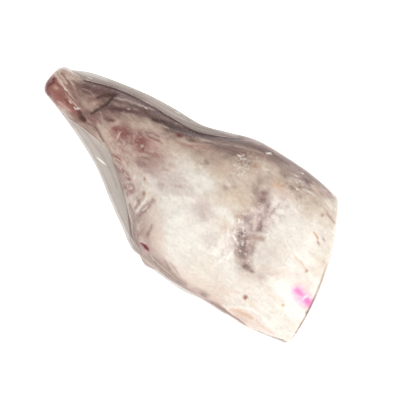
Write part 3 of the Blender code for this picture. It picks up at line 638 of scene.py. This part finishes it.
# Folds of the film webs: name, colour, strength, half width, points
FILM_FOLDS = [
    ("web seam", "hide", 0.8, 1, [
        (-79, -22), (-68, -29), (-57, -37), (-43, -47), (-34, -56), (-25, -66), (-16, -75), (-5, -80),
        (10, -83),
    ]),
    ("web fold", "ash", 0.4, 0.9, [
        (-157, -8), (-132, -16), (-106, -26), (-80, -39), (-56, -54), (-30, -69), (-13, -78),
    ]),
    ("web fold 2", "ash", 0.5, 1.3, [(-138, -11), (-118, -15), (-96, -22), (-76, -31), (-59, -42)]),
    ("web fold 3", "dusk", 0.5, 1.1, [(-36, -50), (-28, -60), (-17, -71)]),
    ("web fold 4", "mist", 0.5, 1.3, [(-147, -14), (-121, -24), (-94, -36), (-68, -49), (-46, -62)]),
    ("back fold", "ash", 0.5, 1.1, [
        (-170, 25), (-152, 37), (-131, 44), (-109, 51), (-86, 56), (-62, 59), (-38, 62),
    ]),
    ("back fold 2", "hide", 0.4, 1.1, [(-52, 56), (-29, 61), (-8, 69), (11, 75)]),
    ("bunch fold", "hide", 0.6, 0.9, [(-15, -79), (-5, -83), (7, -85), (24, -86)]),
    ("bunch fold 2", "ash", 0.6, 0.9, [(-8, -84), (3, -85), (14, -88)]),
    ("bunch fold 3", "bone", 0.7, 1.3, [(1, -86), (10, -88), (21, -88)]),
    ("bunch fold 4", "hide", 0.5, 0.8, [(7, -89), (16, -90), (25, -89)]),
    ("web seam pale", "mist", 0.6, 1.1, [(-54, -59), (-36, -68), (-19, -77)]),
]

# Where the fat side is lumpy: middle, half sizes, turn, size of the lumps and how high they stand
LUMPS = {
    "hollow":    ((88, 0), (16, 42), -14, 7.0, 1.0),
    "hip":       ((104, 72), (32, 12), 0, 5.0, 1.2),
    "shank":     ((-130, 18), (48, 22), 8, 8.0, 0.9),
    "knee":      ((-66, 8), (30, 20), 10, 7.0, 0.9),
    "front":     ((-40, -36), (46, 12), -34, 5.0, 1.0),
}

# Where the fat side is crumbly, with pale crumbs (partly painted sparkle) and dark grit: middle, half sizes, turn
# and strength
CRUMBS_AND_SPARKLES = {
    "hollow":      ((80, -8), (10, 28), 28, 1.0),
    "hollow arc":  ((75, -9), (5, 9), 36, 0.6),
    "hollow band": ((81, 23), (10, 24), 24, 0.5),
    "back":        ((37, 54), (13, 15), 26, 0.9),
    "hip":         ((99, 67), (19, 12), -9, 0.65),
    "knee":        ((-75, 7), (18, 13), 11, 0.4),
    "front":       ((-59, -29), (9, 24), 61, 0.7),
}


# ---------------------------------------------------------------- noise


def lattice(ix, iy, iz, seed):
    """A pseudo-random number from 0 to 1 for each whole-number point."""
    h = ix * 374761393 + iy * 668265263 + iz * 2147483647 + seed * 1274126177
    h = (h ^ (h >> 13)) * 1274126177
    h = h ^ (h >> 16)
    return (h & 0xFFFF) / 65535.0


def value_noise(points, size, seed):
    """Smooth noise from -1 to 1, with lumps of the given size in millimetres."""
    p = points / size
    base = np.floor(p).astype(np.int64)
    f = p - base
    f = f * f * f * (f * (f * 6 - 15) + 10)
    total = np.zeros(len(points))
    for dx in (0, 1):
        wx = f[:, 0] if dx else 1 - f[:, 0]
        for dy in (0, 1):
            wy = f[:, 1] if dy else 1 - f[:, 1]
            for dz in (0, 1):
                wz = f[:, 2] if dz else 1 - f[:, 2]
                corner = lattice(base[:, 0] + dx, base[:, 1] + dy, base[:, 2] + dz, seed)
                total += wx * wy * wz * corner
    return total * 2 - 1


def layered_noise(points, size, seed, layers=4, fade=0.55):
    """Noise of several sizes, each half the last, from about -1 to 1."""
    total = np.zeros(len(points))
    weight, sum_of_weights = 1.0, 0.0
    for layer in range(layers):
        total += weight * value_noise(points, size / 2**layer, seed + layer)
        sum_of_weights += weight
        weight *= fade
    return total / sum_of_weights


def fibre_noise(points, size, seed, stretch=3.5):
    """Layered noise drawn out along X, the way the muscles of the leg run."""
    return layered_noise(points * np.array([1 / stretch, 1.0, 1.0]), size, seed)


def muscle_cells(points, size, seed):
    """Rounded bundles: how far each point is from the seam beside it, and a number from 0 to 1 for its bundle."""
    p = points / np.array(size)
    base = np.floor(p).astype(np.int64)
    nearest = np.full(len(points), 9.0)
    second = np.full(len(points), 9.0)
    bundle = np.zeros(len(points))
    for dx in (-1, 0, 1):
        for dy in (-1, 0, 1):
            for dz in (-1, 0, 1):
                cell = base + np.array([dx, dy, dz])
                spot = np.stack([lattice(*cell.T, seed + k) for k in range(3)], axis=1)
                gap = np.linalg.norm(cell + spot - p, axis=1)
                second = np.minimum(second, np.maximum(gap, nearest))
                bundle = np.where(gap < nearest, lattice(*cell.T, seed + 7), bundle)
                nearest = np.minimum(gap, nearest)
    return second - nearest, bundle


# ---------------------------------------------------------------- the form


def smoothstep(x):
    x = np.clip(x, 0.0, 1.0)
    return x * x * (3 - 2 * x)


def section_rows():
    rows = []
    for (fx, fy), (bx, by), low, wide, high, front_web, back_web in SECTIONS.values():
        plan = [fx * LENGTH / 100, fy * WIDTH / 100, bx * LENGTH / 100, by * WIDTH / 100]
        heights = [level * THICKNESS / 100 for level in (low, wide, high)]
        rows.append(plan + heights + [front_web, back_web])
    return np.array(rows)


ROWS = section_rows()
LAST = len(ROWS) - 1


def sections_at(t):
    """The section at each t on a Catmull-Rom curve, one row each."""
    k = np.minimum(t.astype(int), LAST - 1)
    s = (t - k)[:, None]
    before, start, end, after = (ROWS[np.clip(k + i, 0, LAST)] for i in (-1, 0, 1, 2))
    leave = (end - before) / 2
    arrive = (after - start) / 2
    return (
        start * (2 * s**3 - 3 * s**2 + 1)
        + leave * (s**3 - 2 * s**2 + s)
        + end * (3 * s**2 - 2 * s**3)
        + arrive * (s**3 - s**2)
    )


def turned(x, y, centre, turn):
    """Places measured from a centre, along and across a direction in degrees."""
    c, s = math.cos(math.radians(turn)), math.sin(math.radians(turn))
    return (x - centre[0]) * c + (y - centre[1]) * s, (y - centre[1]) * c - (x - centre[0]) * s


def swelling(x, y):
    height = np.zeros_like(x)
    for centre, (along, across), turn, amount in SWELLINGS.values():
        u, v = turned(x, y, centre, turn)
        height += amount * np.exp(-((u / along) ** 2 + (v / across) ** 2) / 2)
    return height


def gathered(x):
    return sum(push * np.exp(-(((x - middle) / half) ** 2)) for middle, half, push in GATHERS.values())


def ring_angles(over, under, crowding):
    """Angles round a section: 0 on the back edge, pi on the front edge."""
    turn = np.concatenate([np.arange(over) / over, 1 + np.arange(under) / under]) * math.pi
    return turn - crowding * np.sin(2 * turn) / 2


def ring_plan(inset):
    """Each ring's place: t, how far it is drawn in across and in height, and how far out of its plane it stands."""
    rows = []
    for i in range(1, HOCK_RINGS + 1):
        angle = math.pi / 2 * i / (HOCK_RINGS + 1)
        width = math.sin(angle) ** (2 / HOCK_SQUARENESS)
        depth = math.cos(angle) ** (2 / HOCK_SQUARENESS)
        rows.append((0.0, width, width, -(HOCK_DEPTH - inset) * depth))
    rows += [(LAST * i / (SIDE_RINGS - 1), 1.0, 1.0, 0.0) for i in range(SIDE_RINGS)]
    front, back = ROWS[LAST][0:2], ROWS[LAST][2:4]
    half = np.linalg.norm(back - front) / 2
    half_height = ROWS[LAST][6] - ROWS[LAST][5]
    scales = (1.0, 1.0)
    reach = CUT_RIM_RADIUS - inset
    for i in range(1, RIM_RINGS + 1):
        angle = math.pi / 2 * i / RIM_RINGS
        drawn_in = CUT_RIM_RADIUS * (1 - math.cos(angle))
        scales = (1 - drawn_in / half, 1 - drawn_in / half_height)
        rows.append((LAST, *scales, reach * math.sin(angle)))
    for i in range(1, FACE_RINGS + 1):
        left = 1 - i / (FACE_RINGS + 1)
        rows.append((LAST, left * scales[0], left * scales[1], reach + CUT_DOME * (1 - left**2)))
    return np.array(rows, float)


def form_points(inset, web_reach, spread):
    """The whole surface as rings of points, with each point's share of the front web and of the back web."""
    plan = ring_plan(inset)
    t, across_scale, height_scale, advance = (plan[:, i][:, None] for i in range(4))
    rows = sections_at(plan[:, 0])
    front, back = rows[:, 0:2], rows[:, 2:4]
    low, wide, high, front_web, back_web = (rows[:, i][:, None] for i in range(4, 9))
    front_web = front_web + gathered(front[:, 0:1])
    chord = back - front
    half = np.linalg.norm(chord, axis=1)[:, None] / 2
    across = chord / (2 * half)
    outward = np.stack([across[:, 1], -across[:, 0]], axis=1)
    middle = (front + back) / 2
    angle = ring_angles(*spread)[None, :]
    c, s = np.cos(angle), np.sin(angle)
    square = np.where(s > 0, UPPER_SQUARENESS, LOWER_SQUARENESS)
    side = np.sign(c) * np.abs(c) ** (2 / square)
    rise = np.sign(s) * np.abs(s) ** (2 / square)
    from_back = (angle + math.pi) % math.tau - math.pi
    back_share = np.exp(-((from_back / WEB_HALF_ANGLE) ** 2))
    front_share = np.exp(-(((angle - math.pi) / WEB_HALF_ANGLE) ** 2))
    web = (back_web * back_share - front_web * front_share) * web_reach
    reach = (side * (half - inset * SIDE_FIT) + web) * across_scale
    bow = CUT_BOW * smoothstep((t - CUT_BOW_STARTS) / (LAST - CUT_BOW_STARTS))
    drift = bow * (1 - (side * across_scale) ** 2) + advance
    x = middle[:, 0:1] + across[:, 0:1] * reach + outward[:, 0:1] * drift
    y = middle[:, 1:2] + across[:, 1:2] * reach + outward[:, 1:2] * drift
    upper = wide + ((high - wide - inset) * rise + swelling(x, y) * rise**2) * height_scale
    lower = wide + (wide - low - inset) * rise * height_scale
    z = np.maximum(np.where(rise > 0, upper, lower), inset)
    return np.stack([x, y, z], axis=-1), front_share * front_web, back_share * back_web


def grid_normals(points):
    """The outward direction at each point of a grid of closed rings."""
    along = np.gradient(points, axis=0)
    around = np.roll(points, -1, axis=1) - np.roll(points, 1, axis=1)
    normal = np.cross(around, along)
    return normal / np.maximum(np.linalg.norm(normal, axis=2, keepdims=True), 1e-9)


def distance_to_line(x, y, points):
    """How far each place is from a line of straight runs, and how far along the line it is, from 0 to 1."""
    best = np.full(x.shape, 1e9)
    along = np.zeros_like(x)
    runs = list(zip(points, points[1:]))
    for k, ((ax, ay), (bx, by)) in enumerate(runs):
        dx, dy = bx - ax, by - ay
        s = np.clip(((x - ax) * dx + (y - ay) * dy) / (dx * dx + dy * dy), 0, 1)
        gap = np.hypot(x - ax - s * dx, y - ay - s * dy)
        nearer = gap < best
        best = np.where(nearer, gap, best)
        along = np.where(nearer, (k + s) / len(runs), along)
    return best, along


def relief(places):
    """How far the fat side stands above or below its smooth form: named creases, fat lobes and fine lumps."""
    x, y = places[:, 0], places[:, 1]
    waver = np.stack([layered_noise(places, 5.0, seed) for seed in (61, 67)], axis=1) * 0.8
    height = layered_noise(places, 13.0, 201, layers=3) * 0.55 + layered_noise(places, 3.2, 211, layers=2) * 0.16
    height += fibre_noise(places, 5.0, 221) * 0.22 - 0.45
    for name, amount, width, points in RELIEF:
        gap, along = distance_to_line(x + waver[:, 0], y + waver[:, 1], points)
        ends = np.sin(math.pi * np.clip(along, 0.06, 0.94)) ** 0.5
        height += amount * ends * np.exp(-((gap / width) ** 2))
    for centre, halves, turn, size, amount in LUMPS.values():
        u, v = turned(x, y, centre, turn)
        share = np.exp(-((u / halves[0]) ** 2 + (v / halves[1]) ** 2))
        height += share * amount * (layered_noise(places, size, 231, layers=2) - 0.3)
    return height


def mesh_of_rings(name, points):
    """A closed smooth mesh through rings of points, with a fan at each end."""
    rings, count = points.shape[0], points.shape[1]
    grid = np.arange(rings * count).reshape(rings, count)
    one, two = grid[:-1], grid[1:]
    quads = np.stack([one, np.roll(one, -1, axis=1), np.roll(two, -1, axis=1), two], axis=-1).reshape(-1, 4)
    tip, heart = rings * count, rings * count + 1
    first, last = grid[0], grid[-1]
    fan_one = np.stack([np.roll(first, -1), first, np.full(count, tip)], axis=-1)
    fan_two = np.stack([last, np.roll(last, -1), np.full(count, heart)], axis=-1)
    vertices = with_ends(points) * MM
    mesh = bpy.data.meshes.new(name)
    faces = [*quads.tolist(), *fan_one.tolist(), *fan_two.tolist()]
    mesh.from_pydata(vertices.tolist(), [], faces)
    mesh.shade_smooth()
    piece = bpy.data.objects.new(name, mesh)
    bpy.context.scene.collection.objects.link(piece)
    return piece


def with_ends(values):
    """Values of a grid as one list, with the middles of its two ends after them."""
    flat = values.reshape(-1, *values.shape[2:])
    ends = np.stack([values[0].mean(axis=0), values[-1].mean(axis=0)])
    return np.concatenate([flat, ends])


def store_number(piece, name, values):
    attribute = piece.data.attributes.new(name, "FLOAT", "POINT")
    attribute.data.foreach_set("value", values.astype(np.float32))


def store_colour(piece, name, values):
    attribute = piece.data.color_attributes.new(name, "FLOAT_COLOR", "POINT")
    rgba = np.concatenate([values, np.ones((len(values), 1))], axis=1)
    attribute.data.foreach_set("color", rgba.astype(np.float32).ravel())


# ---------------------------------------------------------------- painting


def lay(colour, mask, name):
    """Lay a palette colour over the colours so far, as thickly as the mask says."""
    colour += (seen(name) - colour) * mask[:, None]


def fade_at_one(distance, softness):
    """1 well inside a distance of 1 and 0 well outside it."""
    return 1 - smoothstep((distance - 1) / softness + 0.5)


def soft_spot(distance):
    """1 at the middle, falling off like breath on glass, with little left past a distance of 1.5."""
    return np.minimum(1.2 * np.exp(-np.maximum(distance, 0.0) ** 2), 1.0)


def patch_distance(x, y, centre, halves, turn):
    u, v = turned(x, y, centre, turn)
    return np.hypot(u / halves[0], v / halves[1])


def line_distance(x, y, half_width, points):
    gap, along = distance_to_line(x, y, points)
    taper = 0.5 + 0.5 * np.sin(math.pi * np.clip(along, 0.03, 0.97)) ** 0.5
    return gap / (half_width * taper)


def mark_distance(x, y, shape):
    """How far each place is from a mark, where 1 is its edge.

    A mark is a patch when it has a middle, half sizes and a turn, and a line when it has a half width and points.
    """
    return (patch_distance if len(shape) == 3 else line_distance)(x, y, *shape)


def blotches(places, size, seed, stretch, cover):
    """A mask of soft-edged blotches that cover more or less of the surface."""
    return smoothstep((fibre_noise(places, size, seed, stretch) + cover) * 2.5 + 0.2)


def paint_fat_side(places, upward):
    """The fat side's colours: washes and marks laid over one another, each with an uneven edge."""
    colour = np.tile(seen("cream"), (len(places), 1))
    broad = layered_noise(places, 15.0, 11, layers=5, fade=0.7)
    small = layered_noise(places, 4.0, 31, layers=3, fade=0.7)
    streaks = fibre_noise(places, 5.0, 41)
    grain = fibre_noise(places, 2.6, 47, stretch=2.2)
    warp = np.stack([layered_noise(places, 12.0, seed) for seed in (51, 53)], axis=1) * 4.0
    waver = np.stack([layered_noise(places, 3.0, seed) for seed in (57, 59)], axis=1) * 1.1
    x, y = (places[:, :2] + warp).T
    uneven = broad * 0.35 + streaks * 0.25 + grain * 0.25
    for k, (name, pigment, strength, size, stretch, cover) in enumerate(CLOUDS):
        lay(colour, blotches(places, size, 400 + 10 * k, stretch, cover) * strength, pigment)
    # Some washes are painted shade along the edges
    for name, pigment, strength, *shape in WASHES:
        lay(colour, fade_at_one(mark_distance(x, y, shape) + uneven, 1.3) * strength, pigment)
    for k, (name, pigment, strength, size, stretch, cover, centre, halves, turn) in enumerate(MOTTLES):
        zone = fade_at_one(patch_distance(x, y, centre, halves, turn) + small * 0.2, 1.4)
        lay(colour, zone * blotches(places, size, 300 + 10 * k, stretch, cover) * strength, pigment)
    lean = lean_share(colour)
    shade = 1 + streaks * (0.015 + 0.1 * lean) + grain * (0.035 + 0.14 * lean) + broad * 0.015
    colour *= np.clip(shade, 0.7, 1.25)[:, None]
    x, y = (places[:, :2] + waver).T
    # Some marks are painted shade in creases and at edges, and some are painted highlights
    for name, pigment, strength, *shape in MARKS:
        spot = soft_spot(mark_distance(x, y, shape) + small * 0.35 + grain * 0.45)
        lay(colour, spot * np.clip(strength * (1 + grain * 0.5), 0, 1) * upward, pigment)
    return colour


def crumb_and_sparkle_share(places):
    """How crumbly the fat side is, and how much painted sparkle it carries, from 0 to 1."""
    share = np.zeros(len(places))
    for centre, halves, turn, strength in CRUMBS_AND_SPARKLES.values():
        share = np.maximum(share, soft_spot(patch_distance(places[:, 0], places[:, 1], centre, halves, turn)) * strength)
    return share


def lean_share(colour):
    """How much lean shows through, judged from how dark a colour is."""
    brightness = colour @ np.array([0.3, 0.6, 0.1])
    return smoothstep((0.8 - brightness) / 0.38)


def paint_flesh(places, seam_width, fat_share):
    """Bare muscle: bundles of lean with pale seams between them, marbling, and patches of silver skin."""
    warp = np.stack([layered_noise(places, 18.0, seed, layers=5) for seed in (85, 87, 89)], axis=1) * 9.0
    seam, bundle = muscle_cells(places + warp, (60.0, 30.0, 26.0), 71)
    fibres = fibre_noise(places, 3.0, 73, stretch=6.0)
    seam_width = seam_width * np.clip(0.7 + layered_noise(places, 14.0, 77) * 1.6, 0.15, 2.0)
    colour = np.tile(seen("brick"), (len(places), 1))
    lay(colour, smoothstep(bundle * 1.4 - 0.2) * 0.6, "lean")
    lay(colour, smoothstep(fibres * 1.2) * 0.35, "mauve")
    lay(colour, smoothstep(layered_noise(places, 22.0, 75) * 2.0 + fat_share) * 0.85, "blush")
    lay(colour, (1 - smoothstep(seam / seam_width + fibres * 0.3)) * 0.7, "blush")
    return colour * (1 + fibres[:, None] * 0.06)


def paint_cut(places, rim_gap, over):
    """The cut end: lean bundles inside a rim of fat, which is thickest over the top."""
    colour = paint_flesh(places, 0.1, -0.55)
    rim = 2.0 + 5.5 * over + layered_noise(places, 9.0, 81) * 2.0
    lay(colour, 1 - smoothstep((rim_gap - rim) / 1.5 + 0.5), "cream")
    return colour


def build_leg():
    points, _, _ = form_points(LEG_INSET, 0.0, LEG_ROUND)
    normals = grid_normals(points)
    up = normals[..., 2:3]
    rings, count = points.shape[0], points.shape[1]
    fat_side = np.zeros((rings, count, 1))
    fat_side[: HOCK_RINGS + SIDE_RINGS + RIM_RINGS // 2] = 1.0
    height = relief(points.reshape(-1, 3)).reshape(rings, count, 1)
    points = points + normals * height * smoothstep(up * 4) * fat_side
    points[..., 2] = np.maximum(points[..., 2], LEG_INSET)
    piece = mesh_of_rings("lamb_leg", points)

    places = with_ends(points)
    upward = with_ends(smoothstep((up + 0.25) / 0.5))[:, 0]
    colour = paint_fat_side(places, upward)
    bare = smoothstep((layered_noise(places, 12.0, 83) * 0.5 + 1 - upward * 1.6) * 1.5)
    colour += (paint_flesh(places, 0.12, 0.0) - colour) * bare[:, None]

    plan = ring_plan(LEG_INSET)
    on_cut = np.repeat((np.arange(rings) >= rings - FACE_RINGS - RIM_RINGS // 2)[:, None], count, axis=1)
    rim = points[-FACE_RINGS - RIM_RINGS - 1]
    radius = np.linalg.norm(rim - rim.mean(axis=0), axis=1)
    rim_gap = (1 - plan[:, 1])[:, None] * radius[None, :]
    over = np.repeat(smoothstep(np.sin(ring_angles(*LEG_ROUND)) * 2)[None, :], rings, axis=0)
    cut = paint_cut(places, with_ends(rim_gap[..., None])[:, 0], with_ends(over[..., None])[:, 0])
    share = with_ends(on_cut[..., None].astype(float))[:, 0]
    share[-2] = 0.0
    colour += (cut - colour) * share[:, None]
    from_edge = np.abs(np.arange(rings) - (rings - FACE_RINGS - CUT_LINE_RING))[:, None] * np.ones(count)
    line = soft_spot(with_ends(from_edge[..., None])[:, 0] / 0.9 + layered_noise(places, 6.0, 97) * 0.9)
    line *= with_ends(over[..., None])[:, 0] * smoothstep((CUT_LINE_BACK - places[:, 1]) / 8.0)
    lay(colour, line * 0.75, "hide")
    store_colour(piece, "tone", albedo(colour))
    store_number(piece, "lean", lean_share(colour))
    store_number(piece, "crumbs", crumb_and_sparkle_share(places) * upward * (1 - share))
    return piece


def build_film():
    points, front_web, back_web = form_points(FILM_INSET, 1.0, FILM_ROUND)
    rings, count = points.shape[0], points.shape[1]
    normals = grid_normals(points)
    up = normals[..., 2:3]
    web = np.maximum(front_web, back_web)[..., None]
    clinging = 1 - smoothstep(web / 2.0)
    fat_side = np.zeros((rings, count, 1))
    fat_side[: HOCK_RINGS + SIDE_RINGS + RIM_RINGS // 2] = 1.0
    places = points.reshape(-1, 3)
    height = relief(places).reshape(rings, count, 1)
    height = np.where(height < 0, height * 0.85, height)
    points = points + normals * height * smoothstep(up * 4) * fat_side * clinging
    ripple = (fibre_noise(places * np.array([1.0, 0.5, 0.0]), 9.0, 91, stretch=1.0)).reshape(rings, count)
    points[..., 2] += ripple * 0.2 * smoothstep(web[..., 0] / 8.0)
    points[..., 2] = np.maximum(points[..., 2], FILM_INSET)
    piece = mesh_of_rings("vacuum_film", points)

    places = with_ends(points)
    tip_gap = with_ends(web.max(axis=1, keepdims=True) - web)[:, 0]
    behind = with_ends(back_web[..., None])[:, 0]
    web = with_ends(web)[:, 0]
    x, y = places[:, 0], places[:, 1]
    noise = layered_noise(places, 4.0, 93) * 0.3
    milk = fibre_noise(places, 8.0, 95)
    colour = np.tile(seen("web"), (len(places), 1))
    haze = 0.02 + smoothstep(web / WEB_ROOT) * (0.62 + milk * 0.1)
    # Painted shade at the root of the back web, beside the leg
    lay(colour, smoothstep(behind / WEB_ROOT) * smoothstep(1 - behind / WEB_SHADE) * 0.6, "hide")
    lay(colour, smoothstep(web / WEB_ROOT) * smoothstep(1 - tip_gap / WEB_RIM) * 0.8, "mist")
    for name, pigment, strength, *shape in FILM_FOLDS:
        mask = soft_spot(mark_distance(x, y, shape) + noise) * strength
        lay(colour, mask, pigment)
        haze = np.maximum(haze, mask * smoothstep(web / 0.6))
    # White creases and painted highlights: pale colour, and pale haze on the film's upper side
    for name, strength, *shape in FILM_CREASES_AND_GLINTS:
        mask = soft_spot(mark_distance(x, y, shape) + noise) * strength
        lay(colour, mask, "frost")
        haze = np.maximum(haze, mask * (with_ends(up)[:, 0] > 0))
    store_colour(piece, "tone", albedo(colour))
    store_number(piece, "haze", haze)
    return piece


# ---------------------------------------------------------------- materials


class Nodes:
    """A short way to build a material's node tree."""

    def __init__(self, name):
        self.material = bpy.data.materials.new(name)
        self.material.use_nodes = True
        self.tree = self.material.node_tree
        self.shader = self.tree.nodes["Principled BSDF"]
        self.output = self.tree.nodes["Material Output"]
        self.place = self.tree.nodes.new("ShaderNodeTexCoord").outputs["Object"]

    def add(self, kind, links=(), values=(), **settings):
        """A new node, with its settings, its sockets' values and what feeds its sockets."""
        node = self.tree.nodes.new(kind)
        for key, value in settings.items():
            setattr(node, key, value)
        for socket, value in dict(values).items():
            node.inputs[socket].default_value = value
        for socket, source in dict(links).items():
            self.tree.links.new(source, node.inputs[socket])
        return node

    def join(self, source, target):
        self.tree.links.new(source, target)

    def noise(self, size, stretch=1.0, detail=4.0):
        """Noise with lumps of the given size in millimetres, drawn out along X by the stretch."""
        scale = (1 / stretch, 1.0, 1.0)
        drawn_out = self.add("ShaderNodeMapping", {"Vector": self.place}, {"Scale": scale})
        values = {"Scale": 1 / (size * MM), "Detail": detail, "Roughness": 0.6}
        return self.add("ShaderNodeTexNoise", {"Vector": drawn_out.outputs["Vector"]}, values).outputs["Fac"]

    def spread(self, source, low, high, start=0.3, end=0.7):
        """A number mapped from start..end to low..high."""
        values = {"From Min": start, "From Max": end, "To Min": low, "To Max": high}
        return self.add("ShaderNodeMapRange", {"Value": source}, values).outputs["Result"]

    def spindle(self, middle, halves, turn):
        """1 inside a long thin spot, in millimetres and degrees, and 0 past its edge."""
        values = {
            "Location": [value * MM for value in middle],
            "Rotation": (0.0, 0.0, math.radians(turn)),
            "Scale": [value * MM for value in (*halves, GLINT_DEPTH)],
        }
        centred = self.add("ShaderNodeMapping", {"Vector": self.place}, values, vector_type="TEXTURE")
        distance = self.add("ShaderNodeVectorMath", {0: centred.outputs["Vector"]}, operation="LENGTH")
        return self.spread(distance.outputs["Value"], 1.0, 0.0, 0.5, 1.0)

    def blend(self, share, one, two):
        """A colour from one to two by the share. Two is a plain colour."""
        return self.add("ShaderNodeMixRGB", {"Fac": share, "Color1": one}, {"Color2": (*two, 1.0)}).outputs["Color"]

    def larger(self, sources):
        """The largest of several numbers."""
        largest = sources[0]
        for source in sources[1:]:
            largest = self.add("ShaderNodeMath", {0: largest, 1: source}, operation="MAXIMUM").outputs["Value"]
        return largest

    def product(self, one, two):
        return self.add("ShaderNodeMath", {0: one, 1: two}, operation="MULTIPLY").outputs["Value"]


def leg_material():
    n = Nodes("raw_lamb")
    tone = n.add("ShaderNodeAttribute", attribute_name="tone").outputs["Color"]
    lean = n.add("ShaderNodeAttribute", attribute_name="lean").outputs["Fac"]
    fine = n.spread(n.noise(3.0), 0.95, 1.03)
    fibre = n.spread(n.noise(1.8, stretch=3.0), 0.78, 1.16)
    plain = n.add("ShaderNodeMix", {"Factor": lean, "A": n.product(fine, fine), "B": n.product(fine, fibre)})
    crumbly = n.add("ShaderNodeAttribute", attribute_name="crumbs").outputs["Fac"]
    # Pale crumbs in highlight white, partly painted sparkle where the film would glint
    crumb = n.product(n.spread(n.noise(2.2), 0.0, 0.85, 0.56, 0.66), crumbly)
    grit = n.product(n.spread(n.noise(2.6), 0.0, 0.4, 0.54, 0.66), crumbly)
    clean = n.add("ShaderNodeMath", {1: grit}, {0: 1.0}, operation="SUBTRACT").outputs["Value"]
    level = n.product(plain.outputs["Result"], clean)
    crumbed = n.blend(crumb, tone, albedo(seen("frost")))
    shaded = n.add("ShaderNodeVectorMath", {0: crumbed, "Scale": level}, operation="SCALE")
    n.join(shaded.outputs["Vector"], n.shader.inputs["Base Color"])
    n.join(n.spread(lean, 0.6, 0.42, 0.0, 1.0), n.shader.inputs["Roughness"])
    n.shader.inputs["Specular IOR Level"].default_value = 0.15
    bump = n.add("ShaderNodeBump", {"Height": n.noise(1.8)}, {"Strength": 0.4, "Distance": 0.0005})
    n.join(bump.outputs["Normal"], n.shader.inputs["Normal"])
    return n.material


def film_material():
    n = Nodes("clear_shrink_film")
    n.tree.nodes.remove(n.shader)
    tone = n.add("ShaderNodeAttribute", attribute_name="tone").outputs["Color"]
    haze = n.add("ShaderNodeAttribute", attribute_name="haze").outputs["Fac"]
    bump = n.add("ShaderNodeBump", {"Height": n.noise(5.0, stretch=1.5)}, {"Strength": 0.3, "Distance": 0.001})
    normal = bump.outputs["Normal"]
    clear = n.add("ShaderNodeBsdfTransparent")
    # Painted highlights: the glint spots lay an opaque pale colour over the film, fixed in object space
    glint = n.larger([n.spindle(*spot) for spot in PAINTED_GLINTS.values()])
    milky = n.add("ShaderNodeBsdfDiffuse", {"Color": n.blend(glint, tone, albedo(seen("frost")))})
    cover = n.larger([haze, glint])
    gloss = n.add("ShaderNodeBsdfGlossy", {"Normal": normal}, {"Roughness": 0.12})
    glancing = n.add("ShaderNodeLayerWeight", {"Normal": normal}, {"Blend": 0.5}).outputs["Facing"]
    rising = n.add("ShaderNodeMath", {0: glancing}, {1: 5.0}, operation="POWER").outputs["Value"]
    mirror = n.spread(rising, 0.03, 0.25, 0.0, 1.0)
    body = n.add("ShaderNodeMixShader", {0: cover, 1: clear.outputs["BSDF"], 2: milky.outputs["BSDF"]})
    links = {0: mirror, 1: body.outputs["Shader"], 2: gloss.outputs["BSDF"]}
    film = n.add("ShaderNodeMixShader", links)
    n.join(film.outputs["Shader"], n.output.inputs["Surface"])
    return n.material


# ---------------------------------------------------------------- stage, light and camera

VIEW_TURN = math.radians(36)
VIEW_RIGHT = np.array([math.cos(VIEW_TURN), math.sin(VIEW_TURN), 0.0])
VIEW_UP = np.array([-math.sin(VIEW_TURN), math.cos(VIEW_TURN), 0.0])
VIEW_WIDTH = 0.4296
VIEW_MIDDLE = (0.0209, -0.0005)
CAMERA_HEIGHT = 4.0
WIDEST_HEIGHT = 0.038


def build_camera():
    data = bpy.data.cameras.new("camera")
    data.lens = data.sensor_width * (CAMERA_HEIGHT - WIDEST_HEIGHT) / VIEW_WIDTH
    data.clip_end = 30.0
    camera = bpy.data.objects.new("camera", data)
    bpy.context.scene.collection.objects.link(camera)
    camera.location = (*VIEW_MIDDLE, CAMERA_HEIGHT)
    camera.rotation_euler = (0, 0, VIEW_TURN)
    bpy.context.scene.camera = camera


def area_light(name, place, size, power):
    """A square light that faces the middle of the leg."""
    data = bpy.data.lights.new(name, "AREA")
    data.size = size
    data.energy = power
    light = bpy.data.objects.new(name, data)
    light.location = place
    light.rotation_euler = (Vector((0.03, 0.0, 0.04)) - light.location).to_track_quat("-Z", "Y").to_euler()
    bpy.context.scene.collection.objects.link(light)
    return light


def build_stage():
    mesh = bpy.data.meshes.new("floor")
    reach = 8.0
    corners = [(-reach, -reach, 0), (reach, -reach, 0), (reach, reach, 0), (-reach, reach, 0)]
    mesh.from_pydata(corners, [], [(0, 1, 2, 3)])
    floor = bpy.data.objects.new("floor", mesh)
    floor.location.z = -0.0004
    bpy.context.scene.collection.objects.link(floor)
    n = Nodes("white_floor")
    n.shader.inputs["Base Color"].default_value = (0.9, 0.9, 0.9, 1)
    n.shader.inputs["Roughness"].default_value = 0.9
    n.shader.inputs["Specular IOR Level"].default_value = 0.1
    n.shader.inputs["Emission Color"].default_value = (1, 1, 1, 1)
    n.shader.inputs["Emission Strength"].default_value = 0.65
    floor.data.materials.append(n.material)
    world = bpy.data.worlds.new("studio")
    world.use_nodes = True
    world.node_tree.nodes["Background"].inputs["Color"].default_value = (1, 0.975, 0.972, 1)
    world.node_tree.nodes["Background"].inputs["Strength"].default_value = 0.8
    bpy.context.scene.world = world
    bpy.context.scene.view_settings.view_transform = "Standard"
    side = VIEW_RIGHT * 1.1 - VIEW_UP * 1.3
    area_light("key", (side[0], side[1], 2.0), 1.6, 40.0)


# ---------------------------------------------------------------- making the scene

build_camera()
build_stage()

leg = build_leg()
leg.data.materials.append(leg_material())
film = build_film()
film.data.materials.append(film_material())
for piece, slot in ((leg, "lamb"), (film, "clear_film")):
    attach(piece, "root")
    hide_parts(NODE)
